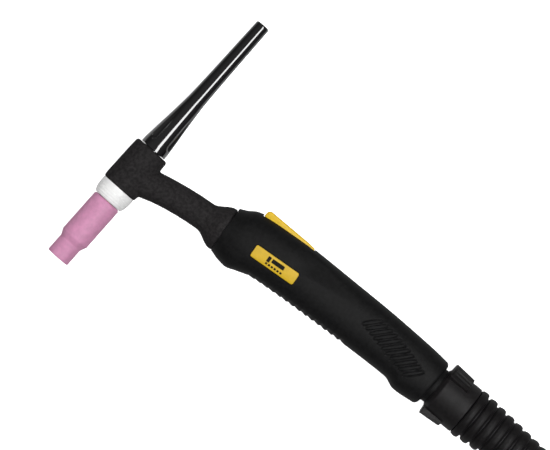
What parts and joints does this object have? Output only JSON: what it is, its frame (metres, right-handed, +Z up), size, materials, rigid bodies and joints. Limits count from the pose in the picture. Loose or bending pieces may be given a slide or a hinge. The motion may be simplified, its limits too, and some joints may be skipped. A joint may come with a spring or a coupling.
{
  "type": "tig torch",
  "caption": "Air-cooled TIG welding torch: stepped ceramic nozzle, T-shaped head with long back cap, ergonomic handle with trigger, ball joint and ribbed cable boot.",
  "frame": {"origin": "centre of the nozzle's mouth, on the head's axis", "axes": "the torch lies on its side: +Y along the head's axis towards the back cap, +X along the handle towards the cable, +Z up, across the torch, square to its middle plane"},
  "size_m": [0.3346, 0.1969, 0.0354],
  "materials": {
    "pink_ceramic": "fine matte alumina, slightly chalky",
    "white_ptfe": "waxy, slightly translucent",
    "copper": "turned copper",
    "tungsten": "ground grey tungsten",
    "brass": "turned brass",
    "black_silicone": "matte moulded silicone",
    "gloss_black": "polished phenolic",
    "seal_rubber": "smooth nitrile",
    "handle_black": "satin moulded nylon with fine grain",
    "screw_steel": "zinc plated",
    "yellow_label": "satin yellow",
    "yellow_plastic": "satin yellow moulding",
    "spring_steel": "bright wire",
    "switch_black": "moulded",
    "switch_red": "moulded",
    "grey_plastic": "acetal",
    "nut_black": "satin moulded nylon",
    "boot_rubber": "matte moulded rubber"
  },
  "bodies": {
    "torch": {"head_core": "brass", "neck_tube": "brass", "head_cover": "black_silicone", "cup_gasket": "white_ptfe", "collet_body": "copper", "collet": "copper", "cable_adaptor": "brass", "handle_left": "handle_black", "handle_right": "handle_black", "handle_screws": "screw_steel", "label_plate": "yellow_label", "trigger_pin": "screw_steel", "switch_body": "switch_black", "switch_terminals": "brass"},
    "nozzle": {"nozzle": "pink_ceramic"},
    "electrode": {"electrode": "tungsten"},
    "cap_seal": {"cap_oring": "seal_rubber"},
    "back_cap": {"back_cap": "gloss_black"},
    "trigger": {"trigger": "yellow_plastic", "trigger_spring": "spring_steel"},
    "plunger": {"switch_plunger": "switch_red"},
    "ball_seat": {"ball_seat": "grey_plastic"},
    "ball": {"ball_knuckle": "handle_black"},
    "cable_end": {"swivel_nut": "nut_black", "clamp_washer": "screw_steel", "bend_boot": "boot_rubber"}
  },
  "joints": [
    {"name": "nozzle_travel", "type": "slide", "parent": "torch", "child": "nozzle", "axis": [0, -1, 0], "range_m": [0, 0.0096]},
    {"name": "electrode_feed", "type": "slide", "parent": "torch", "child": "electrode", "axis": [0, -1, 0], "range_m": [0, 0.018]},
    {"name": "cap_travel", "type": "slide", "parent": "torch", "child": "cap_seal", "axis": [0, 1, 0], "range_m": [0, 0.00551]},
    {"name": "cap_turn", "type": "hinge", "parent": "cap_seal", "child": "back_cap", "pos_m": [0, 0.0911, 0], "axis": [0, 1, 0], "range_deg": [0, 1980]},
    {"name": "trigger_press", "type": "hinge", "parent": "torch", "child": "trigger", "pos_m": [0.11384, 0.10656, 0], "axis": [0, 0, 1], "range_deg": [0, 5], "stiffness_Nm_per_rad": 0.4, "springref_deg": -5.73},
    {"name": "plunger_press", "type": "slide", "parent": "torch", "child": "plunger", "axis": [0, -1, 0], "range_m": [0, 0.0013]},
    {"name": "seat_swivel", "type": "hinge", "parent": "torch", "child": "ball_seat", "pos_m": [0.22754, 0.0979, 0], "axis": [0.9991, 0.0419, 0], "range_deg": [-180, 180]},
    {"name": "ball_tilt", "type": "hinge", "parent": "ball_seat", "child": "ball", "pos_m": [0.22754, 0.0979, 0], "axis": [0, 0, 1], "range_deg": [-9, 9]},
    {"name": "boot_swivel", "type": "hinge", "parent": "ball", "child": "cable_end", "pos_m": [0.22754, 0.0979, 0], "axis": [0.9991, 0.0419, 0], "range_deg": [-180, 180]}
  ],
  "couplings": [
    {"joint": "cap_travel", "follows": "cap_turn", "m_per_rad": 0.00015915},
    {"joint": "plunger_press", "follows": "trigger_press", "m_per_rad": 0.014}
  ]
}
